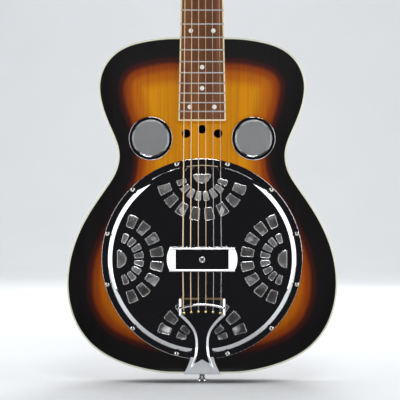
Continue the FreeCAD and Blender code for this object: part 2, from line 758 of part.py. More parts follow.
def head_outline():
    """Half outline of the headstock in its own plane, from the nut to the crown."""
    nut_half = BOARD_NUT_WIDTH / 2
    top = HEAD_LENGTH
    flare = spline([V(nut_half, 0, 0), V(nut_half + 2.2, 7, 0), V(HEAD_HALF - 2.0, 20, 0), V(HEAD_HALF, 32, 0)])
    edges = [
        Part.makeLine(V(0, 0, 0), V(nut_half, 0, 0)),
        flare,
        Part.makeLine(V(HEAD_HALF, 32, 0), V(HEAD_HALF - 3, 140, 0)),
        spline([V(HEAD_HALF - 3, 140, 0), V(HEAD_HALF - 3.6, 156, 0), V(HEAD_HALF - 9, 167, 0),
                V(HEAD_HALF - 20, 171.5, 0), V(0, top, 0)]),
    ]
    return half_to_wire(edges)


def head_slab(low, high):
    solid = Part.Face(head_outline()).extrude(OUT * (high - low))
    solid.translate(OUT * low)
    return solid


def post_places():
    """Post centres in the headstock plane, string by string from the high E to the low E."""
    treble = [(POST_X, y) for y in POST_ROWS]
    bass = [(-POST_X, y) for y in reversed(POST_ROWS)]
    return treble + bass


def rod_channel():
    return box(-3, 3, HEEL_START - 40, NUT_Y, -9, 0)


def rod_slot():
    return box(-5, 5, 4, 32, -9, 3)


def make_neck():
    shaft = Part.makeLoft([
        neck_section(NUT_Y + 40, board_half_width(NUT_Y), NECK_DEPTH_NUT, 2.0),
        neck_section(NUT_Y, board_half_width(NUT_Y), NECK_DEPTH_NUT, 2.0),
        neck_section(HEEL_START, board_half_width(HEEL_START), NECK_DEPTH_HEEL, 2.0),
    ], True, True)
    heel = Part.makeLoft([
        neck_section(HEEL_START, board_half_width(HEEL_START), NECK_DEPTH_HEEL, 2.0),
        neck_section(HEEL_START - 14, board_half_width(HEEL_START - 14), NECK_DEPTH_HEEL + 4.0, 1.95),
        neck_section(HEEL_START - 27, board_half_width(HEEL_START - 27), NECK_DEPTH_HEEL + 15.0, 1.8),
        neck_section(HEEL_START - 37, board_half_width(HEEL_START - 37), NECK_DEPTH_HEEL + 31.0, 1.6),
        neck_section(BODY_LENGTH + 8, board_half_width(BODY_LENGTH + 8), HEEL_DEPTH - 5, 1.45),
        neck_section(BODY_LENGTH, board_half_width(BODY_LENGTH), HEEL_DEPTH, 1.4),
    ], True, False)
    above = on_head(box(-60, 60, -1, 300, -OVERLAY, 60))
    above = above.common(box(-90, 90, NUT_Y + NUT_THICKNESS, 1200, -200, 200))
    shaft = shaft.cut(above)
    head = on_head(head_slab(-OVERLAY - HEAD_THICKNESS, -OVERLAY))
    neck = fuse([shaft, heel, head, tenon_shape()])
    cuts = [rod_channel(), on_head(rod_slot()), rod(3.2, V(0, NUT_Y - 1, -5), ALONG, 22)]
    for x, y in post_places():
        cuts.append(on_head(rod(4.0, V(x, y, -30), OUT, 40)))
        cuts.append(on_head(rod(4.8, V(x, y, -OVERLAY - 7), OUT, 20)))
    for centre in plate_screw_places():
        cuts.append(on_head(rod(1.1, V(centre[0], centre[1], -HEAD_THICKNESS - OVERLAY - 1), OUT, 9)))
    for centre in cover_plate_screw_places():
        cuts.append(on_head(rod(1.1, V(centre[0], centre[1], -9), OUT, 9)))
    return neck.cut(cuts)


def fret_y(number):
    return NUT_Y - SCALE_LENGTH * (1 - 2 ** (-number / 12.0))


def dot_places():
    places = []
    for number in SINGLE_DOTS:
        places.append((0.0, (fret_y(number) + fret_y(number - 1)) / 2))
    for number, reach in DOUBLE_DOTS.items():
        y = (fret_y(number) + fret_y(number - 1)) / 2
        places.extend([(-reach, y), (reach, y)])
    return places


def side_dot_places():
    places = []
    for number in SINGLE_DOTS + [19]:
        places.append((fret_y(number) + fret_y(number - 1)) / 2)
    y = (fret_y(12) + fret_y(11)) / 2
    places.extend([y - 3, y + 3])
    return places


def make_markers():
    face = [rod(DOT_RADIUS, V(x, y, BOARD_THICKNESS - DOT_THICKNESS), OUT, DOT_THICKNESS) for x, y in dot_places()]
    side = []
    for y in side_dot_places():
        edge = -board_half_width(y)
        side.append(rod(SIDE_DOT_RADIUS, V(edge + 0.02, y, BOARD_THICKNESS / 2), ACROSS, 1.2))
    return face, side


def fret_shapes():
    frets = []
    for number in range(1, FRETS + 1):
        y = fret_y(number)
        half = board_half_width(y) - 0.3
        top = BOARD_THICKNESS
        edges = [
            Part.makeLine(V(-half, y - FRET_WIDTH / 2, top), V(-half, y + FRET_WIDTH / 2, top)),
            Part.Arc(V(-half, y + FRET_WIDTH / 2, top), V(-half, y, top + FRET_HEIGHT),
                     V(-half, y - FRET_WIDTH / 2, top)).toShape(),
        ]
        crown = Part.Face(Part.Wire(edges)).extrude(ACROSS * (2 * half))
        inner = board_half_width(y, BOARD_BINDING)
        tang = box(-inner, inner, y - FRET_TANG / 2, y + FRET_TANG / 2, top - 2.0, top)
        frets.append((crown, tang))
    return frets


def make_board(frets, face_dots):
    core = tapered(BOARD_END + BOARD_BINDING, NUT_Y, BOARD_BINDING, 0, BOARD_THICKNESS)
    return core.cut([tang for _, tang in frets] + face_dots)


def make_board_binding(side_dots):
    whole = tapered(BOARD_END, NUT_Y, 0, 0, BOARD_THICKNESS)
    core = tapered(BOARD_END + BOARD_BINDING, NUT_Y, BOARD_BINDING, 0, BOARD_THICKNESS)
    return whole.cut([core] + side_dots)


def make_nut():
    half = BOARD_NUT_WIDTH / 2
    blank = box(-half, half, NUT_Y, NUT_Y + NUT_THICKNESS, 0, NUT_STRING_HEIGHT + 1.0)
    top = [e for e in blank.Edges if e.BoundBox.ZMin > NUT_STRING_HEIGHT and e.BoundBox.XLength > 10]
    blank = blank.makeFillet(1.2, top)
    slots = []
    for i, diameter in enumerate(STRING_DIAMETERS):
        x = string_x(i, NUT_SPACING)
        z = NUT_STRING_HEIGHT + diameter / 2
        reach = diameter / 2 + 0.13
        slots.append(rod(reach, V(x, NUT_Y - 2, z), ALONG, 10))
        slots.append(box(x - reach, x + reach, NUT_Y - 1, NUT_Y + 8, z, z + 4))
    return blank.cut(slots)


def make_overlay():
    veneer = head_slab(-OVERLAY, 0)
    cuts = [rod(4.8, V(x, y, -5), OUT, 10) for x, y in post_places()]
    cuts.append(rod_slot())
    cuts.extend([rod(1.1, V(x, y, -9), OUT, 20) for x, y in cover_plate_screw_places()])
    return on_head(veneer.cut(cuts)).cut(box(-60, 60, NUT_Y - 60, NUT_Y + NUT_THICKNESS, -50, 50))


def make_truss_rod():
    bar = rod(ROD_RADIUS, V(0, HEEL_START - 38, -5), ALONG, NUT_Y + 14 - HEEL_START + 38)
    nut = rod(3.1, V(0, NUT_Y + 8, -5), ALONG, 7)
    key = rod(1.6, V(0, NUT_Y + 12, -5), ALONG, 6)
    return fuse([bar, nut]).cut(key)


def cover_plate_screw_places():
    return [(-8.0, 4.0), (8.0, 4.0), (0.0, 36.0)]


def make_truss_cover():
    edges = [
        Part.makeLine(V(0, 0.5, 0), V(10.5, 0.5, 0)),
        spline([V(10.5, 0.5, 0), V(11.0, 10, 0), V(7.6, 24, 0), V(5.0, 33, 0), V(4.4, 38, 0)]),
        Part.Arc(V(4.4, 38, 0), V(3.1, 41.1, 0), V(0, 42.4, 0)).toShape(),
    ]
    plate = Part.Face(half_to_wire(edges)).extrude(OUT * 1.6)
    cuts = [rod(1.1, V(x, y, -1), OUT, 5) for x, y in cover_plate_screw_places()]
    return on_head(plate.cut(cuts))


# ---------- tuners ----------

def plate_screw_places():
    rows = [POST_ROWS[0] - 15, (POST_ROWS[0] + POST_ROWS[1]) / 2 + 4.5, (POST_ROWS[1] + POST_ROWS[2]) / 2 + 4.5,
            POST_ROWS[2] + 12]
    return [(side * POST_X, y) for side in (-1, 1) for y in rows]


def small_screw(point, direction):
    head = Part.makeSphere(2.6, point - direction * 1.3).common(rod(2.4, point, direction, 3))
    shank = rod(1.1, point - direction * 7, direction, 7)
    slot = box(-3, 3, -0.3, 0.3, -0.45, 0.45)
    slot.translate(point + direction * 1.2)
    return fuse([head, shank]).cut(slot)


def make_head_screws():
    back = -HEAD_THICKNESS - OVERLAY - TUNER_PLATE
    screws = [on_head(small_screw(V(x, y, back), -OUT)) for x, y in plate_screw_places()]
    screws.extend([on_head(small_screw(V(x, y, 1.6), OUT)) for x, y in cover_plate_screw_places()])
    return screws


def make_tuner_plates():
    """One strip per side on the headstock's back, with two lugs for each worm."""
    top = -HEAD_THICKNESS - OVERLAY
    low = top - TUNER_PLATE
    plates = []
    for side in (-1, 1):
        x = side * POST_X
        strip = box(x - 8, x + 8, POST_ROWS[0] - 19, POST_ROWS[2] + 16, low, top)
        corners = [e for e in strip.Edges if e.BoundBox.ZLength > 0.9]
        strip = strip.makeFillet(3.0, corners)
        parts = [strip]
        cuts = []
        for y in POST_ROWS:
            worm_y = y - WORM_DISTANCE
            for inner in (-LUG_GAP - LUG_THICKNESS, LUG_GAP):
                lug = box(x + inner, x + inner + LUG_THICKNESS, worm_y - 2.8, worm_y + 2.8, -GEAR_LEVEL, low + 0.2)
                tip = rod(2.8, V(x + inner, worm_y, -GEAR_LEVEL), ACROSS, LUG_THICKNESS)
                parts.extend([lug, tip])
            cuts.append(rod(SHAFT_RADIUS + RUNNING_CLEARANCE, V(x - 20, worm_y, -GEAR_LEVEL), ACROSS, 40))
            cuts.append(rod(POST_RADIUS + RUNNING_CLEARANCE, V(x, y, low - 1), OUT, 4))
        for cx, cy in plate_screw_places():
            cuts.append(rod(1.1, V(cx, cy, low - 1), OUT, 4))
        plates.append(on_head(fuse(parts).cut(cuts)))
    return plates


def make_bushings():
    bushings = []
    for x, y in post_places():
        flange = rod(5.8, V(x, y, 0), OUT, 1.2)
        sleeve = rod(4.8, V(x, y, -OVERLAY - 6.8), OUT, OVERLAY + 6.8)
        bore = rod(POST_RADIUS + RUNNING_CLEARANCE, V(x, y, -20), OUT, 40)
        bushings.append(on_head(fuse([flange, sleeve]).cut(bore)))
    return bushings


def worm_solid():
    """A three-turn worm along x through the origin, a thread gap facing +y at its middle."""
    length = WORM_LEAD * WORM_TURNS
    helix = Part.makeHelix(WORM_LEAD, length, WORM_ROOT)
    root = WORM_ROOT - 0.15
    profile = polygon([
        V(root, 0, -0.55), V(WORM_OUTER, 0, -0.27), V(WORM_OUTER, 0, 0.27), V(root, 0, 0.55),
    ])
    thread = Part.Wire(helix).makePipeShell([profile], True, True)
    thread.translate(OUT * (-length / 2))
    thread.rotate(V(0, 0, 0), OUT, 90)
    core = rod(WORM_ROOT, V(0, 0, -LUG_GAP + 0.25), OUT, 2 * LUG_GAP - 0.5)
    worm = core.fuse(thread)
    worm.rotate(V(0, 0, 0), ALONG, 90)
    return worm


def make_worm(side):
    """Worm, shaft and end cap for a tuner whose button is on the given side."""
    inner = LUG_GAP + LUG_THICKNESS
    out_end = HEAD_HALF - POST_X + 16
    shaft = rod(SHAFT_RADIUS, V(-side * (inner + 1.4), 0, 0), V(side, 0, 0), inner + 1.4 + out_end)
    cap = rod(2.4, V(-side * (inner + 0.3), 0, 0), V(-side, 0, 0), 1.2)
    collar = rod(2.4, V(side * (inner + 0.3), 0, 0), V(side, 0, 0), 2.0)
    return fuse([worm_solid(), shaft, cap, collar])


def make_button(side):
    """An oval button outboard of the headstock edge."""
    near = HEAD_HALF - POST_X + 5.0
    length = 17.0
    profile = [(1.5, 0), (3.2, 0), (3.6, 3.0), (6.4, 6.0), (8.0, 10.5), (6.6, 15.2), (0.0, length)]
    curve = spline([V(r, 0, z) for r, z in profile[3:]], InitialTangent=V(1, 0, 0.9), FinalTangent=V(-1, 0, 0))
    lower = Part.makePolygon([V(r, 0, z) for r, z in [(0.0, 0)] + profile[1:4]])
    axis = Part.makeLine(V(0, 0, length), V(0, 0, 0))
    wire = Part.Wire([*lower.Edges, curve, axis])
    body = Part.Face(wire).revolve(V(0, 0, 0), OUT, 360)
    body = body.common(box(-20, 20, -3.6, 3.6, -1, 30))
    body = body.cut(rod(SHAFT_RADIUS, V(0, 0, -1), OUT, 12.0))
    body.rotate(V(0, 0, 0), ALONG, 90 * side)
    body.translate(V(side * near, 0, 0))
    return body


def gear_solid():
    """A 14-tooth wheel about z with teeth slanted to the worm's lead."""
    lead_angle = math.degrees(math.atan(WORM_LEAD / (math.pi * (WORM_OUTER + WORM_ROOT))))
    pitch = WORM_LEAD * GEAR_TEETH / (2 * math.pi)
    twist = math.degrees(GEAR_FACE / 2 * math.tan(math.radians(lead_angle)) / pitch)
    step = 360.0 / GEAR_TEETH
    wires = []
    for level, turn in ((-GEAR_FACE / 2, -twist), (GEAR_FACE / 2, twist)):
        points = []
        for i in range(GEAR_TEETH):
            middle = -90 + step * i + turn
            for radius, offset in ((GEAR_ROOT, -6.6), (GEAR_OUTER, -3.0), (GEAR_OUTER, 3.0), (GEAR_ROOT, 6.6)):
                a = math.radians(middle + offset)
                points.append(V(radius * math.cos(a), radius * math.sin(a), level))
        wires.append(polygon(points))
    return Part.makeLoft(wires, True, True)


def make_post(index):
    """String post with its gear at the back and the string's turns near its top."""
    back = -HEAD_THICKNESS - OVERLAY - TUNER_PLATE
    gear = gear_solid()
    gear.translate(OUT * -GEAR_LEVEL)
    hub = rod(3.6, V(0, 0, -GEAR_LEVEL), OUT, GEAR_LEVEL + back - 0.3)
    post = rod(POST_RADIUS, V(0, 0, -GEAR_LEVEL), OUT, GEAR_LEVEL + 11.0)
    post = post.makeFillet(0.5, [e for e in post.Edges if e.BoundBox.ZMin > 10.9])
    screw = rod(2.3, V(0, 0, -GEAR_LEVEL - GEAR_FACE / 2 - 1.2), OUT, 1.4)
    slot = box(-3, 3, -0.35, 0.35, -GEAR_LEVEL - GEAR_FACE / 2 - 2, -GEAR_LEVEL - GEAR_FACE / 2 - 0.7)
    hole = rod(0.9, V(-5, 0, 8.6), ACROSS, 10)
    metal = fuse([gear, hub, post, screw]).cut([slot, hole])
    radius = STRING_DIAMETERS[index] / 2
    turns = []
    for i in range(3):
        turn = Part.makeTorus(POST_RADIUS + radius, radius)
        turn.translate(OUT * (4.2 + radius * (2 * i + 1)))
        turns.append(turn)
    return [metal] + turns


def tuner_parts(index):
    x, y = post_places()[index]
    side = 1 if x > 0 else -1
    spot = V(x, y - WORM_DISTANCE, -GEAR_LEVEL)
    worm = make_worm(side)
    worm.translate(spot)
    button = make_button(side)
    button.translate(spot)
    post = make_post(index)
    for solid in post:
        solid.translate(V(x, y, 0))
    return on_head(worm), on_head(button), [on_head(s) for s in post]


# ---------- strings ----------

def make_string(index):
    radius = STRING_DIAMETERS[index] / 2
    anchor = anchor_points()[index] + OUT * BALL_LEVEL
    bend = (BAR_RADIUS + radius) * 1.01
    x_bar = string_x(index, SADDLE_SPACING - 0.3)
    y_bar = arc_y(x_bar, BAR_CENTRE_Y, BAR_END_Y, BAR_HALF)
    x, y = post_places()[index]
    side = 1 if x > 0 else -1
    gap = POST_RADIUS + 3 * radius + 0.3
    post_end = HEAD.multVec(V(x - side * gap, y, 4.2 + radius * 5))
    over_bar = V(x_bar, y_bar - bend * math.sin(BAR_TURN), ISLAND_LEVEL - BAR_SUNK + bend * math.cos(BAR_TURN))
    run = over_bar - anchor
    run.normalize()
    points = [
        anchor + run * (BALL_RADIUS + 0.03),
        over_bar,
        V(string_x(index, SADDLE_SPACING), SADDLE_Y, SADDLE_STRING_HEIGHT + radius),
        V(string_x(index, NUT_SPACING), NUT_Y + NUT_THICKNESS, NUT_STRING_HEIGHT + radius),
        post_end,
    ]
    section = Part.Wire(Part.Circle(points[0], points[1] - points[0], radius).toShape())
    return Part.makePolygon(points).makePipeShell([section], True, False, 1)


def make_ball_ends():
    balls = []
    for p in anchor_points():
        ball = rod(BALL_RADIUS, V(p.x - 1.6, p.y, BALL_LEVEL), ACROSS, 3.2)
        rims = ball.Edges
        balls.append(ball.makeFillet(0.5, [e for e in rims if e.BoundBox.XLength < 0.01]))
    return balls


# ---------- write ----------

os.makedirs("parts", exist_ok=True)

bass_side, treble_side = make_sides()
write("top_plate", [make_top_plate()])
write("back_plate", [slab(BINDING_WIDTH, -BODY_DEPTH, -BODY_DEPTH + PLATE)])
write("bass_side", [bass_side])
write("treble_side", [treble_side])
write("neck_block", [make_neck_block()])
write("tail_block", [make_tail_block()])
write("top_linings", [make_linings(True)])
write("back_linings", [make_linings(False)])
write("top_binding", [make_binding(True)])
write("back_binding", [make_binding(False)])
write("soundwell", [make_soundwell()])
write("cone", [make_cone()])
write("spider", [make_spider()])
write("tension_screw", [make_tension_screw()])
write("saddle_inserts", make_saddle())
write("coverplate", [make_coverplate()])
write("coverplate_screws", make_cover_screws())
write("palm_rest", [make_palm_rest()])
write("screen_rings", make_screen_rings())
write("screen_meshes", make_screen_meshes())
write("tailpiece", [make_tailpiece()])
write("ball_ends", make_ball_ends())
write("strap_button", [make_strap_button()])
write("strap_button_screw", [make_strap_screw()])

write("neck", [make_neck()])
fret_set = fret_shapes()
face_dots, side_dots = make_markers()
write("fingerboard", [make_board(fret_set, face_dots)])
write("fingerboard_binding", [make_board_binding(side_dots)])
write("frets", [crown.fuse(tang) for crown, tang in fret_set])
write("position_markers", face_dots + side_dots)
write("nut", [make_nut()])
write("headstock_overlay", [make_overlay()])
write("truss_rod", [make_truss_rod()])
write("truss_rod_cover", [make_truss_cover()])
write("headstock_screws", make_head_screws())
write("tuner_plates", make_tuner_plates())
write("tuner_bushings", make_bushings())

for string in range(6):
    write("string_" + str(string + 1), [make_string(string)])
    worm, button, post = tuner_parts(string)
    write("tuner_worm_" + str(string + 1), [worm])
    write("tuner_button_" + str(string + 1), [button])
    write("tuner_post_" + str(string + 1), post)
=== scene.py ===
import math

import bmesh
import bpy
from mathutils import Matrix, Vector
from mathutils.kdtree import KDTree


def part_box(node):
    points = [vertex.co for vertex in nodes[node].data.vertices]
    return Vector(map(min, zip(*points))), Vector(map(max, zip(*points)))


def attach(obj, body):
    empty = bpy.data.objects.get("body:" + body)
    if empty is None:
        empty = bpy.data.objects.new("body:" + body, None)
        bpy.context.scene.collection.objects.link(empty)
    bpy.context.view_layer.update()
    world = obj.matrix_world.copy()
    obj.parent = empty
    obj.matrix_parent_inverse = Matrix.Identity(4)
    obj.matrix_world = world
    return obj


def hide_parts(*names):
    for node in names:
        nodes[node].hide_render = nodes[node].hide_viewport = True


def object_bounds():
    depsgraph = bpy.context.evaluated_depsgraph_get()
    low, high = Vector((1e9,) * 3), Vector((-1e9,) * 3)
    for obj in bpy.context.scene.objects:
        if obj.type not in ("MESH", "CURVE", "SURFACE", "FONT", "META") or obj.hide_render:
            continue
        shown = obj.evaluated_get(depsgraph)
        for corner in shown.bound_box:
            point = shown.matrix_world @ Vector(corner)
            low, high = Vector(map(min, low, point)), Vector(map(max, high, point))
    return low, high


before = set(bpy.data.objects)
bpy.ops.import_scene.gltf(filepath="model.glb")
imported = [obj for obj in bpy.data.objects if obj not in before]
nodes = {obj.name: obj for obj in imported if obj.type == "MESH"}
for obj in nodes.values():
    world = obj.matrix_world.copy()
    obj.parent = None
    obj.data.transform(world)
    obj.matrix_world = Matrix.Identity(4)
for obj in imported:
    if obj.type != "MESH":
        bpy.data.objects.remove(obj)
cad_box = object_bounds()
scene = bpy.context.scene

MM = 0.001
TOP_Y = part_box("top_plate")[0][1]
BACK_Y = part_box("back_plate")[1][1]
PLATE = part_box("top_plate")[1][1] - TOP_Y
TAIL_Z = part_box("top_binding")[0][2]
COVER_LOW, COVER_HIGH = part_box("coverplate")
COVER_X = (COVER_LOW[0] + COVER_HIGH[0]) / 2
COVER_Z = (COVER_LOW[2] + COVER_HIGH[2]) / 2
SCREEN_LOW, SCREEN_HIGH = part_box("screen_meshes")
DOME_R = 127.0 * MM
DOME_EDGE_Y = TOP_Y - 5.2 * MM
DOME_RISE = 2.4 * MM
EDGE_BEAD = 0.42 * MM
WIRE_PITCH = 1.2 * MM
WIRE_THICK = 0.42 * MM
WIRE_MARGIN = 0.2 * MM
HEM_PROFILE = [(25.7, 0.72), (25.7, 1.35), (25.0, 1.4), (24.6, 1.2), (24.4, 0.72)]
RIM_STEP = 1.5 * MM
GRID_STEP = 6.0 * MM
WAIST_Z = TAIL_Z + 0.310
WAIST_REACH = 0.055
WAIST_WIDENING = 0.25
BEVELS = {"coverplate": 0.35, "palm_rest": 0.25, "tailpiece": 0.3, "screen_rings": 0.25}


# ---------------------------------------------------------------- colour and node helpers

def rgb(r, g, b):
    """A display colour (0-255) as linear values."""
    out = []
    for v in (r, g, b):
        v /= 255.0
        out.append(v / 12.92 if v <= 0.04045 else ((v + 0.055) / 1.055) ** 2.4)
    return (*out, 1.0)


class Shader:
    """A small builder for one procedural material."""

    def __init__(self, name, **settings):
        self.mat = bpy.data.materials.new(name)
        self.mat.use_nodes = True
        self.tree = self.mat.node_tree
        self.bsdf = self.tree.nodes["Principled BSDF"]
        self.coords = self.node("ShaderNodeTexCoord").outputs["Object"]
        for key, value in settings.items():
            self.bsdf.inputs[key.replace("_", " ")].default_value = value

    def node(self, kind, **props):
        n = self.tree.nodes.new(kind)
        for key, value in props.items():
            setattr(n, key, value)
        return n

    def link(self, a, b):
        self.tree.links.new(a, b)

    def mapped(self, scale, rotation=(0, 0, 0)):
        n = self.node("ShaderNodeMapping")
        n.inputs["Scale"].default_value = scale
        n.inputs["Rotation"].default_value = rotation
        self.link(self.coords, n.inputs["Vector"])
        return n.outputs["Vector"]

    def noise(self, scale, detail=4.0, stretch=(1, 1, 1), rough=0.55, distortion=0.0):
        n = self.node("ShaderNodeTexNoise")
        n.inputs["Scale"].default_value = scale
        n.inputs["Detail"].default_value = detail
        n.inputs["Roughness"].default_value = rough
        n.inputs["Distortion"].default_value = distortion
        self.link(self.mapped(stretch), n.inputs["Vector"])
        return n.outputs["Fac"]

    def ramp(self, value, stops, mode="LINEAR"):
        n = self.node("ShaderNodeValToRGB")
        n.color_ramp.interpolation = mode
        elements = n.color_ramp.elements
        while len(elements) > 1:
            elements.remove(elements[-1])
        elements[0].position = stops[0][0]
        elements[0].color = stops[0][1]
        for position, color in stops[1:]:
            elements.new(position).color = color
        self.link(value, n.inputs["Fac"])
        return n.outputs["Color"]

    def span(self, value, low, high, to_low, to_high):
        n = self.node("ShaderNodeMapRange")
        for key, number in (("From Min", low), ("From Max", high), ("To Min", to_low), ("To Max", to_high)):
            n.inputs[key].default_value = number
        self.link(value, n.inputs["Value"])
        return n.outputs["Result"]

    def mix(self, factor, a, b, blend="MIX"):
        n = self.node("ShaderNodeMix", data_type="RGBA", blend_type=blend)
        for socket, value in ((n.inputs["Factor"], factor), (n.inputs[6], a), (n.inputs[7], b)):
            if isinstance(value, (float, int, tuple)):
                socket.default_value = value
            else:
                self.link(value, socket)
        return n.outputs[2]

    def math(self, operation, a, b=0.0):
        n = self.node("ShaderNodeMath", operation=operation)
        for socket, value in ((n.inputs[0], a), (n.inputs[1], b)):
            if isinstance(value, (float, int)):
                socket.default_value = value
            else:
                self.link(value, socket)
        return n.outputs[0]

    def bump(self, height, strength, distance):
        n = self.node("ShaderNodeBump")
        n.inputs["Strength"].default_value = strength
        n.inputs["Distance"].default_value = distance
        self.link(height, n.inputs["Height"])
        self.link(n.outputs["Normal"], self.bsdf.inputs["Normal"])

    def to(self, socket, value):
        self.link(value, self.bsdf.inputs[socket])
        return self


# ---------------------------------------------------------------- materials

def shaded(color, factor):
    """The same colour, darker."""
    return tuple(c * factor for c in color[:3]) + (1.0,)


def metal(name, color, rough_low, rough_high, scale=60.0, stretch=(1, 1, 1), ripple=0.0):
    s = Shader(name, Metallic=1.0)
    patches = s.noise(scale, 5.0, stretch)
    s.to("Roughness", s.span(patches, 0.3, 0.75, rough_low, rough_high))
    s.to("Base Color", s.mix(s.noise(scale * 0.4, 3.0, stretch), color, shaded(color, 0.9)))
    if ripple:
        s.bump(s.noise(scale * 3, 2.0, stretch), 0.25, ripple)
    return s.mat


def wood(name, light, dark, grain=1.0, rough=(0.45, 0.6)):
    """Straight-grained open-pored wood along z."""
    s = Shader(name, Specular_IOR_Level=0.25)
    bands = s.noise(26.0 * grain, 6.0, (1.0, 1.0, 0.07), 0.6, 0.6)
    fine = s.noise(240.0 * grain, 4.0, (1.0, 1.0, 0.03), 0.65)
    tone = s.mix(s.span(bands, 0.32, 0.68, 0, 1), light, dark)
    tone = s.mix(s.span(fine, 0.48, 0.72, 0, 0.55), tone, shaded(dark, 0.35))
    s.to("Base Color", tone)
    s.to("Roughness", s.span(fine, 0.3, 0.7, *rough))
    s.bump(fine, 0.35, 0.0002)
    return s.mat


def lacquered_burst(name, stops, reach):
    """Sunburst under gloss lacquer: the colour follows each point's distance from the rim."""
    s = Shader(name, Coat_Weight=0.45, Coat_Roughness=0.02, Specular_IOR_Level=0.2)
    rim = s.node("ShaderNodeAttribute", attribute_name="rim_distance").outputs["Fac"]
    drift = s.span(s.noise(9.0, 2.0), 0.3, 0.7, -0.0016, 0.0016)
    place = s.span(s.math("ADD", rim, drift), 0.0, reach, 0.0, 1.0)
    color = s.ramp(place, stops, "EASE")
    grain = s.noise(420.0, 5.0, (1.0, 1.0, 0.022), 0.6)
    flame = s.noise(34.0, 4.0, (1.0, 1.0, 0.10), 0.55, 0.4)
    color = s.mix(s.span(grain, 0.45, 0.75, 0.0, 0.30), color, rgb(66, 30, 4), "MULTIPLY")
    color = s.mix(s.span(flame, 0.35, 0.7, 0.0, 0.35), color, rgb(205, 170, 120), "MULTIPLY")
    s.to("Base Color", color)
    s.to("Roughness", s.span(grain, 0.3, 0.7, 0.34, 0.46))
    s.bump(s.noise(14.0, 2.0), 0.08, 0.0004)
    return s.mat


def dark_lacquer(name, light, dark):
    s = Shader(name, Coat_Weight=0.6, Coat_Roughness=0.03, Specular_IOR_Level=0.25)
    bands = s.noise(22.0, 6.0, (1.0, 1.0, 0.08), 0.6, 0.5)
    pores = s.noise(300.0, 4.0, (1.0, 1.0, 0.04), 0.6)
    color = s.mix(s.span(bands, 0.3, 0.7, 0, 1), light, dark)
    color = s.mix(s.span(pores, 0.5, 0.75, 0, 0.5), color, rgb(8, 5, 4))
    s.to("Base Color", color)
    s.to("Roughness", s.span(pores, 0.3, 0.7, 0.3, 0.42))
    return s.mat


def celluloid(name, color, shade, rough=0.22):
    s = Shader(name, Coat_Weight=0.6, Coat_Roughness=0.05)
    s.bsdf.inputs["Subsurface Weight"].default_value = 0.08
    s.bsdf.inputs["Subsurface Scale"].default_value = 0.002
    s.to("Base Color", s.mix(s.span(s.noise(45.0, 4.0, (1, 1, 0.3)), 0.35, 0.7, 0, 1), color, shade))
    s.to("Roughness", s.span(s.noise(120.0), 0.3, 0.7, rough, rough + 0.12))
    return s.mat


def pearl():
    s = Shader("pearl", Coat_Weight=1.0, Coat_Roughness=0.04)
    swirl = s.noise(260.0, 3.0, (1, 1, 0.5), 0.5, 1.6)
    color = s.ramp(swirl, [(0.30, rgb(232, 228, 214)), (0.45, rgb(214, 226, 220)), (0.55, rgb(240, 236, 228)),
                           (0.70, rgb(222, 208, 214))])
    s.to("Base Color", color)
    s.to("Roughness", s.span(swirl, 0.3, 0.7, 0.12, 0.3))
    return s.mat


def wound(name, color):
    """Round-wound string: a fine ridge for each turn of the wrap wire, with painted shade in the grooves
    between turns.
    """
    s = Shader(name, Metallic=1.0)
    n = s.node("ShaderNodeTexWave", wave_type="BANDS", bands_direction="Z", wave_profile="SIN")
    n.inputs["Scale"].default_value = 620.0
    s.link(s.coords, n.inputs["Vector"])
    ridge = n.outputs["Fac"]
    # Painted shade: the base colour darkens towards 30% in the grooves between wrap turns.
    s.to("Base Color", s.mix(s.span(ridge, 0.0, 0.5, 0.75, 0.0), color, shaded(color, 0.3)))
    s.to("Roughness", s.span(s.noise(200.0), 0.3, 0.7, 0.26, 0.4))
    s.bump(ridge, 0.8, 0.0001)
    return s.mat


def spun(name, color):
    """Spun or turned metal: fine rings about the resonator's axis."""
    s = Shader(name, Metallic=1.0)
    shift = s.node("ShaderNodeMapping")
    shift.inputs["Location"].default_value = (-COVER_X, 0.0, -COVER_Z)
    shift.inputs["Scale"].default_value = (1.0, 0.0, 1.0)
    s.link(s.coords, shift.inputs["Vector"])
    wave = s.node("ShaderNodeTexWave", wave_type="RINGS", rings_direction="SPHERICAL")
    wave.inputs["Scale"].default_value = 210.0
    wave.inputs["Distortion"].default_value = 1.5
    s.link(shift.outputs["Vector"], wave.inputs["Vector"])
    ring = wave.outputs["Fac"]
    s.to("Base Color", s.mix(ring, color, shaded(color, 0.75)))
    s.to("Roughness", s.span(ring, 0, 1, 0.45, 0.62))
    s.bump(ring, 0.4, 0.0002)
    return s.mat


CHROME = metal("chrome_plate", (0.80, 0.81, 0.83, 1), 0.03, 0.07, 30.0)
NICKEL = metal("nickel_plate", (0.74, 0.72, 0.68, 1), 0.14, 0.26, 120.0)
STEEL = metal("plain_steel", (0.74, 0.70, 0.67, 1), 0.22, 0.34, 160.0, (1, 1, 0.1))
FRET = metal("fret_wire", (0.40, 0.38, 0.37, 1), 0.32, 0.48, 150.0, (0.2, 1, 1))
WIRE = metal("screen_wire", (0.48, 0.485, 0.50, 1), 0.42, 0.58, 220.0)
BRASS = metal("ball_brass", (0.75, 0.58, 0.26, 1), 0.2, 0.34, 200.0)
CAST = metal("cast_aluminium", (0.58, 0.58, 0.60, 1), 0.40, 0.58, 240.0, (1, 1, 1), 0.0004)
SPUN = spun("spun_aluminium", (0.90, 0.90, 0.90, 1))
BRONZE = wound("bronze_wound", (0.86, 0.64, 0.42, 1))
BINDING = celluloid("cream_binding", rgb(222, 224, 205), rgb(206, 208, 184))
BOARD_EDGE = celluloid("board_edge_binding", rgb(232, 220, 184), rgb(216, 200, 160))
BONE = celluloid("bone", rgb(232, 226, 205), rgb(215, 206, 180), 0.3)
BUTTON = celluloid("button_plastic", rgb(230, 224, 200), rgb(212, 204, 176), 0.2)
PEARL = pearl()
ROSEWOOD = wood("rosewood", rgb(124, 76, 42), rgb(84, 46, 22), 1.6, (0.5, 0.66))
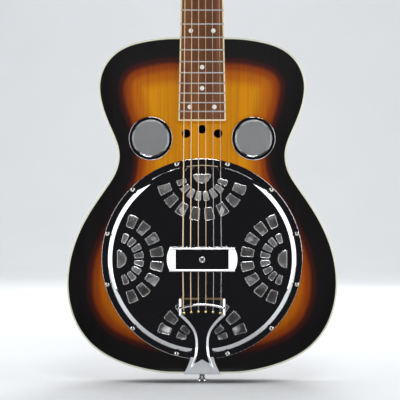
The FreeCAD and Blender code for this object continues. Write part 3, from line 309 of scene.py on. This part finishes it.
MAPLE = wood("maple", rgb(214, 182, 132), rgb(190, 152, 98), 1.4)
PLY = wood("bare_birch", rgb(196, 160, 112), rgb(168, 128, 82), 1.0)
MAHOGANY = dark_lacquer("mahogany_lacquer", rgb(58, 24, 13), rgb(34, 13, 9))
EBONY = dark_lacquer("black_lacquer", rgb(20, 19, 19), rgb(9, 9, 10))
TOP_BURST = lacquered_burst("top_sunburst", [
    (0.0, rgb(6, 6, 7)), (0.32, rgb(12, 8, 9)), (0.43, rgb(56, 16, 10)), (0.55, rgb(138, 58, 0)),
    (0.72, rgb(176, 96, 0)), (1.0, rgb(206, 136, 0)),
], 0.072)
BACK_BURST = lacquered_burst("back_sunburst", [
    (0.0, rgb(12, 11, 11)), (0.30, rgb(20, 11, 9)), (0.55, rgb(54, 20, 10)), (1.0, rgb(96, 42, 16)),
], 0.090)

FINISH = {
    "back_plate": BACK_BURST, "bass_side": MAHOGANY, "treble_side": MAHOGANY, "neck": MAHOGANY,
    "neck_block": PLY, "tail_block": PLY, "top_linings": PLY, "back_linings": PLY, "soundwell": PLY,
    "top_binding": BINDING, "back_binding": BINDING, "fingerboard_binding": BOARD_EDGE,
    "cone": SPUN, "spider": CAST, "tension_screw": STEEL, "truss_rod": STEEL, "saddle_inserts": MAPLE,
    "coverplate": CHROME, "palm_rest": CHROME, "screen_rings": CHROME, "tailpiece": CHROME,
    "strap_button": CHROME, "tuner_bushings": CHROME, "coverplate_screws": NICKEL,
    "strap_button_screw": NICKEL, "headstock_screws": NICKEL, "screen_meshes": WIRE, "ball_ends": BRASS,
    "fingerboard": ROSEWOOD, "frets": FRET, "position_markers": PEARL, "nut": BONE,
    "headstock_overlay": EBONY, "truss_rod_cover": EBONY, "tuner_plates": NICKEL, "top_plate": TOP_BURST,
    "string_1": STEEL, "string_2": STEEL, "string_3": BRONZE, "string_4": BRONZE, "string_5": BRONZE,
    "string_6": BRONZE,
}
for name, obj in nodes.items():
    if name.startswith("tuner_worm") or name.startswith("tuner_post"):
        mat = NICKEL
    elif name.startswith("tuner_button"):
        mat = BUTTON
    else:
        mat = FINISH[name]
    obj.data.materials.clear()
    obj.data.materials.append(mat)


# ---------------------------------------------------------------- mesh helpers

def loops_at(name, level, tolerance=2e-5):
    """Closed loops of (x, z) points round the flat face of a CAD node at y = level."""
    mesh = nodes[name].data
    bm = bmesh.new()
    bm.from_mesh(mesh)
    bmesh.ops.remove_doubles(bm, verts=bm.verts, dist=1e-6)
    flat = [f for f in bm.faces if all(abs(v.co.y - level) < tolerance for v in f.verts)]
    inside = set(flat)
    rim = [e for e in {e for f in flat for e in f.edges} if sum(f in inside for f in e.link_faces) == 1]
    neighbours = {}
    for e in rim:
        for a, b in ((0, 1), (1, 0)):
            neighbours.setdefault(e.verts[a].index, []).append(e.verts[b].index)
    bm.verts.ensure_lookup_table()
    loops = []
    unused = set(neighbours)
    while unused:
        start = min(unused)
        loop = [start]
        unused.discard(start)
        here = start
        while True:
            onward = [v for v in neighbours[here] if v in unused]
            if not onward:
                break
            here = onward[0]
            unused.discard(here)
            loop.append(here)
        loops.append([(bm.verts[i].co.x, bm.verts[i].co.z) for i in loop])
    bm.free()
    return loops


def resampled(loop, spacing):
    """Splits the long edges of a loop."""
    out = []
    for (x0, z0), (x1, z1) in zip(loop, loop[1:] + loop[:1]):
        parts = max(1, round(math.hypot(x1 - x0, z1 - z0) / spacing))
        out.extend((x0 + (x1 - x0) * i / parts, z0 + (z1 - z0) * i / parts) for i in range(parts))
    return out


def sheet_from_loops(loops, y, spacing):
    """A flat bmesh in the plane at y, filled between the loops and cut into a fine grid."""
    bm = bmesh.new()
    edges = []
    for loop in loops:
        verts = [bm.verts.new((x, y, z)) for x, z in loop]
        edges.extend(bm.edges.new((a, b)) for a, b in zip(verts, verts[1:] + verts[:1]))
    bmesh.ops.triangle_fill(bm, use_beauty=True, use_dissolve=False, edges=edges, normal=(0, -1, 0))
    xs = [v.co.x for v in bm.verts]
    zs = [v.co.z for v in bm.verts]
    for axis, low, high in ((Vector((1, 0, 0)), min(xs), max(xs)), (Vector((0, 0, 1)), min(zs), max(zs))):
        count = int((high - low) / spacing)
        for i in range(1, count):
            at = axis * (low + (high - low) * i / count) + Vector((0, y, 0))
            geom = bm.verts[:] + bm.edges[:] + bm.faces[:]
            bmesh.ops.bisect_plane(bm, geom=geom, plane_co=at, plane_no=axis, dist=1e-6)
    return bm


def finish_mesh(bm, name, mat, sharp_degrees=35.0):
    """A smooth-shaded object from bm, with edges sharper than the limit kept crisp."""
    bmesh.ops.recalc_face_normals(bm, faces=bm.faces)
    limit = math.radians(sharp_degrees)
    for f in bm.faces:
        f.smooth = True
    for e in bm.edges:
        if len(e.link_faces) != 2 or e.calc_face_angle(0.0) > limit:
            e.smooth = False
    mesh = bpy.data.meshes.new(name)
    bm.to_mesh(mesh)
    bm.free()
    obj = bpy.data.objects.new(name, mesh)
    scene.collection.objects.link(obj)
    mesh.materials.append(mat)
    return obj


def burst_sheet(name, node, face_y, inward, mat):
    """A finely divided copy of a body plate that knows each point's distance from the rim."""
    loops = loops_at(node, face_y)
    outer = max(loops, key=lambda loop: max(x for x, _ in loop))
    rim = resampled(outer, RIM_STEP)
    tree = KDTree(len(rim))
    for i, (x, z) in enumerate(rim):
        tree.insert((x, 0, z), i)
    tree.balance()
    bm = sheet_from_loops(loops, face_y, GRID_STEP)
    obj = finish_mesh(bm, name, mat)
    distance = obj.data.attributes.new("rim_distance", "FLOAT", "POINT")
    for v in obj.data.vertices:
        d = tree.find((v.co.x, 0, v.co.z))[2]
        narrow = 1.0 + WAIST_WIDENING * math.exp(-((v.co.z - WAIST_Z) / WAIST_REACH) ** 2)
        distance.data[v.index].value = d * narrow
    thick = obj.modifiers.new("thickness", "SOLIDIFY")
    thick.thickness = PLATE
    thick.offset = inward
    thick.use_even_offset = False
    return obj


top_skin = burst_sheet("top_skin", "top_plate", TOP_Y, -1.0, TOP_BURST)
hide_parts("top_plate")
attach(top_skin, "guitar")

back_skin = burst_sheet("back_skin", "back_plate", BACK_Y, -1.0, BACK_BURST)
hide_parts("back_plate")
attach(back_skin, "guitar")


def woven_screens(name):
    """Plain-weave wire cloth for both sound holes, each wire a wavy square rod."""
    radius = (SCREEN_HIGH[2] - SCREEN_LOW[2]) / 2 - WIRE_MARGIN
    level = (SCREEN_LOW[1] + SCREEN_HIGH[1]) / 2
    middle = (SCREEN_LOW[2] + SCREEN_HIGH[2]) / 2
    bm = bmesh.new()
    for centre in (SCREEN_LOW[0] + radius + WIRE_MARGIN, SCREEN_HIGH[0] - radius - WIRE_MARGIN):
        count = int(radius / WIRE_PITCH)
        for across in (True, False):
            for i in range(-count, count + 1):
                offset = i * WIRE_PITCH
                half = math.sqrt(max(radius * radius - offset * offset, 0.0))
                steps = int(half / (WIRE_PITCH / 2))
                ring = None
                for k in range(-steps, steps + 1):
                    along = k * WIRE_PITCH / 2
                    wave = 0.0 if k % 2 else (0.5 if (k // 2 + i) % 2 else -0.5)
                    lift = level + wave * WIRE_THICK * (1 if across else -1)
                    corners = []
                    for da, dy in ((-1, -1), (1, -1), (1, 1), (-1, 1)):
                        a, b = along, offset + da * WIRE_THICK / 2
                        x, z = (a, b) if across else (b, a)
                        corners.append(bm.verts.new((centre + x, lift + dy * WIRE_THICK / 2, middle + z)))
                    if ring:
                        for j in range(4):
                            bm.faces.new((ring[j], ring[(j + 1) % 4], corners[(j + 1) % 4], corners[j]))
                    ring = corners
    return finish_mesh(bm, name, WIRE, 80)


def cover_radius(p):
    return math.hypot(p.x - COVER_X, p.z - COVER_Z)


def dome_y(p):
    """The outer surface of the coverplate's dome at p, forward is -Y."""
    return DOME_EDGE_Y - DOME_RISE * (1 - (cover_radius(p) / DOME_R) ** 2)


def rolled_edges(name, tube, sides=6):
    """The softened edge of every opening in the coverplate's dome, as a thin bright bead."""
    bm = bmesh.new()
    bm.from_mesh(nodes["coverplate"].data)
    bmesh.ops.remove_doubles(bm, verts=bm.verts, dist=1e-6)
    neighbours = {}
    for e in bm.edges:
        if len(e.link_faces) != 2 or e.calc_face_angle(0.0) < math.radians(60):
            continue
        spots = [v.co for v in e.verts]
        if any(cover_radius(p) > DOME_R for p in spots):
            continue
        if any(p.y > dome_y(p) + 0.5 * MM for p in spots):
            continue
        for a, b in ((0, 1), (1, 0)):
            neighbours.setdefault(e.verts[a].index, []).append(e.verts[b].index)
    bm.verts.ensure_lookup_table()
    out = bmesh.new()
    unused = set(neighbours)
    while unused:
        loop = [min(unused)]
        unused.discard(loop[0])
        while True:
            onward = [v for v in neighbours[loop[-1]] if v in unused]
            if not onward:
                break
            loop.append(onward[0])
            unused.discard(onward[0])
        if len(loop) < 6 or loop[0] not in neighbours[loop[-1]]:
            continue
        points = [bm.verts[i].co.copy() for i in loop]
        count = len(points)
        rings = []
        for i, p in enumerate(points):
            along = (points[(i + 1) % count] - points[i - 1]).normalized()
            side = along.cross(Vector((0, 1, 0))).normalized()
            ring = []
            for k in range(sides):
                a = 2 * math.pi * k / sides
                spot = p + (side * math.cos(a) + Vector((0, 1, 0)) * math.sin(a)) * tube
                ring.append(out.verts.new(spot))
            rings.append(ring)
        for i, ring in enumerate(rings):
            after = rings[(i + 1) % count]
            for k in range(sides):
                out.faces.new((ring[k], ring[(k + 1) % sides], after[(k + 1) % sides], after[k]))
    bm.free()
    return finish_mesh(out, name, CHROME, 80)


edges = rolled_edges("opening_edges", EDGE_BEAD)
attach(edges, "guitar")

def screen_hems(name, steps=96):
    """The pressed metal hem round each piece of wire cloth, just inside the chrome ring."""
    reach = (SCREEN_HIGH[2] - SCREEN_LOW[2]) / 2
    middle = (SCREEN_LOW[2] + SCREEN_HIGH[2]) / 2
    bm = bmesh.new()
    for centre in (SCREEN_LOW[0] + reach, SCREEN_HIGH[0] - reach):
        rings = []
        for i in range(steps):
            a = 2 * math.pi * i / steps
            rings.append([bm.verts.new((centre + r * MM * math.cos(a), TOP_Y - lift * MM,
                                        middle + r * MM * math.sin(a))) for r, lift in HEM_PROFILE])
        count = len(HEM_PROFILE)
        for a, b in zip(rings, rings[1:] + rings[:1]):
            for k in range(count):
                bm.faces.new((a[k], a[(k + 1) % count], b[(k + 1) % count], b[k]))
    return finish_mesh(bm, name, CHROME, 60)


hems = screen_hems("screen_hems")
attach(hems, "guitar")

screens = woven_screens("woven_screens")
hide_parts("screen_meshes")
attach(screens, "guitar")

for name, width in BEVELS.items():
    bevel = nodes[name].modifiers.new("rounded_edges", "BEVEL")
    bevel.width = width * MM
    bevel.segments = 2
    bevel.limit_method = "ANGLE"
    bevel.angle_limit = math.radians(50)
    bevel.harden_normals = False


# ---------------------------------------------------------------- stage, lights, camera

def stage_material():
    s = Shader("studio_paper")
    patches = s.span(s.noise(3.0, 2.0), 0.3, 0.7, 0, 1)
    s.to("Base Color", s.mix(patches, (0.80, 0.82, 0.84, 1), (0.78, 0.80, 0.82, 1)))
    s.bsdf.inputs["Roughness"].default_value = 0.9
    s.bsdf.inputs["Specular IOR Level"].default_value = 0.1
    return s.mat


floor_z = cad_box[0][2] - 0.0006
bm = bmesh.new()
profile = [(-0.27, 0.0), (3.6, 0.0)]
for i in range(1, 12):
    turn = math.pi / 24 * i
    profile.append((3.6 + 1.4 * math.sin(turn), 1.4 - 1.4 * math.cos(turn)))
profile += [(5.0, 1.4), (5.0, 4.6)]
rows = []
for y, z in profile:
    rows.append([bm.verts.new((x, y, floor_z + z)) for x in (-4.6, 4.6)])
for a, b in zip(rows, rows[1:]):
    bm.faces.new((a[0], a[1], b[1], b[0]))
sweep = finish_mesh(bm, "studio_sweep", stage_material(), 80)

world = bpy.data.worlds.new("studio")
scene.world = world
world.use_nodes = True
world.node_tree.nodes["Background"].inputs["Color"].default_value = (0.012, 0.012, 0.014, 1)
world.node_tree.nodes["Background"].inputs["Strength"].default_value = 1.0


def softbox(name, place, aim, size, power, color=(1, 1, 1)):
    light = bpy.data.lights.new(name, "AREA")
    light.shape = "RECTANGLE"
    light.size, light.size_y = size
    light.energy = power
    light.color = color
    obj = bpy.data.objects.new(name, light)
    obj.location = place
    obj.rotation_euler = (Vector(aim) - Vector(place)).to_track_quat("-Z", "Y").to_euler()
    scene.collection.objects.link(obj)


softbox("left_box", (-1.35, -0.45, 0.55), (0, -0.05, 0.25), (1.5, 1.9), 18)
softbox("right_box", (1.35, -0.45, 0.55), (0, -0.05, 0.25), (1.5, 1.9), 18)
softbox("low_box", (0, -0.75, -0.45), (0, -0.04, 0.2), (1.8, 0.5), 8)
softbox("front_box", (0.2, -2.3, 1.7), (0, 0, 0.2), (0.9, 0.5), 29)
softbox("ceiling_box", (0, 2.3, 3.0), (0, 3.1, 0.2), (4.2, 3.2), 120)
softbox("rear_box", (0.4, 2.4, 1.5), (0, 0, 0.4), (1.0, 0.7), 22)

DISTANCE = 2.5
PICTURE = 0.572
camera = bpy.data.cameras.new("camera")
camera.sensor_width = 36
camera.lens = 36 * (DISTANCE + TOP_Y) / PICTURE
eye = bpy.data.objects.new("camera", camera)
eye.location = (-0.003, -DISTANCE, TAIL_Z + 0.248)
eye.rotation_euler = (math.radians(90), 0, 0)
scene.collection.objects.link(eye)
scene.camera = eye
scene.view_settings.view_transform = "Standard"
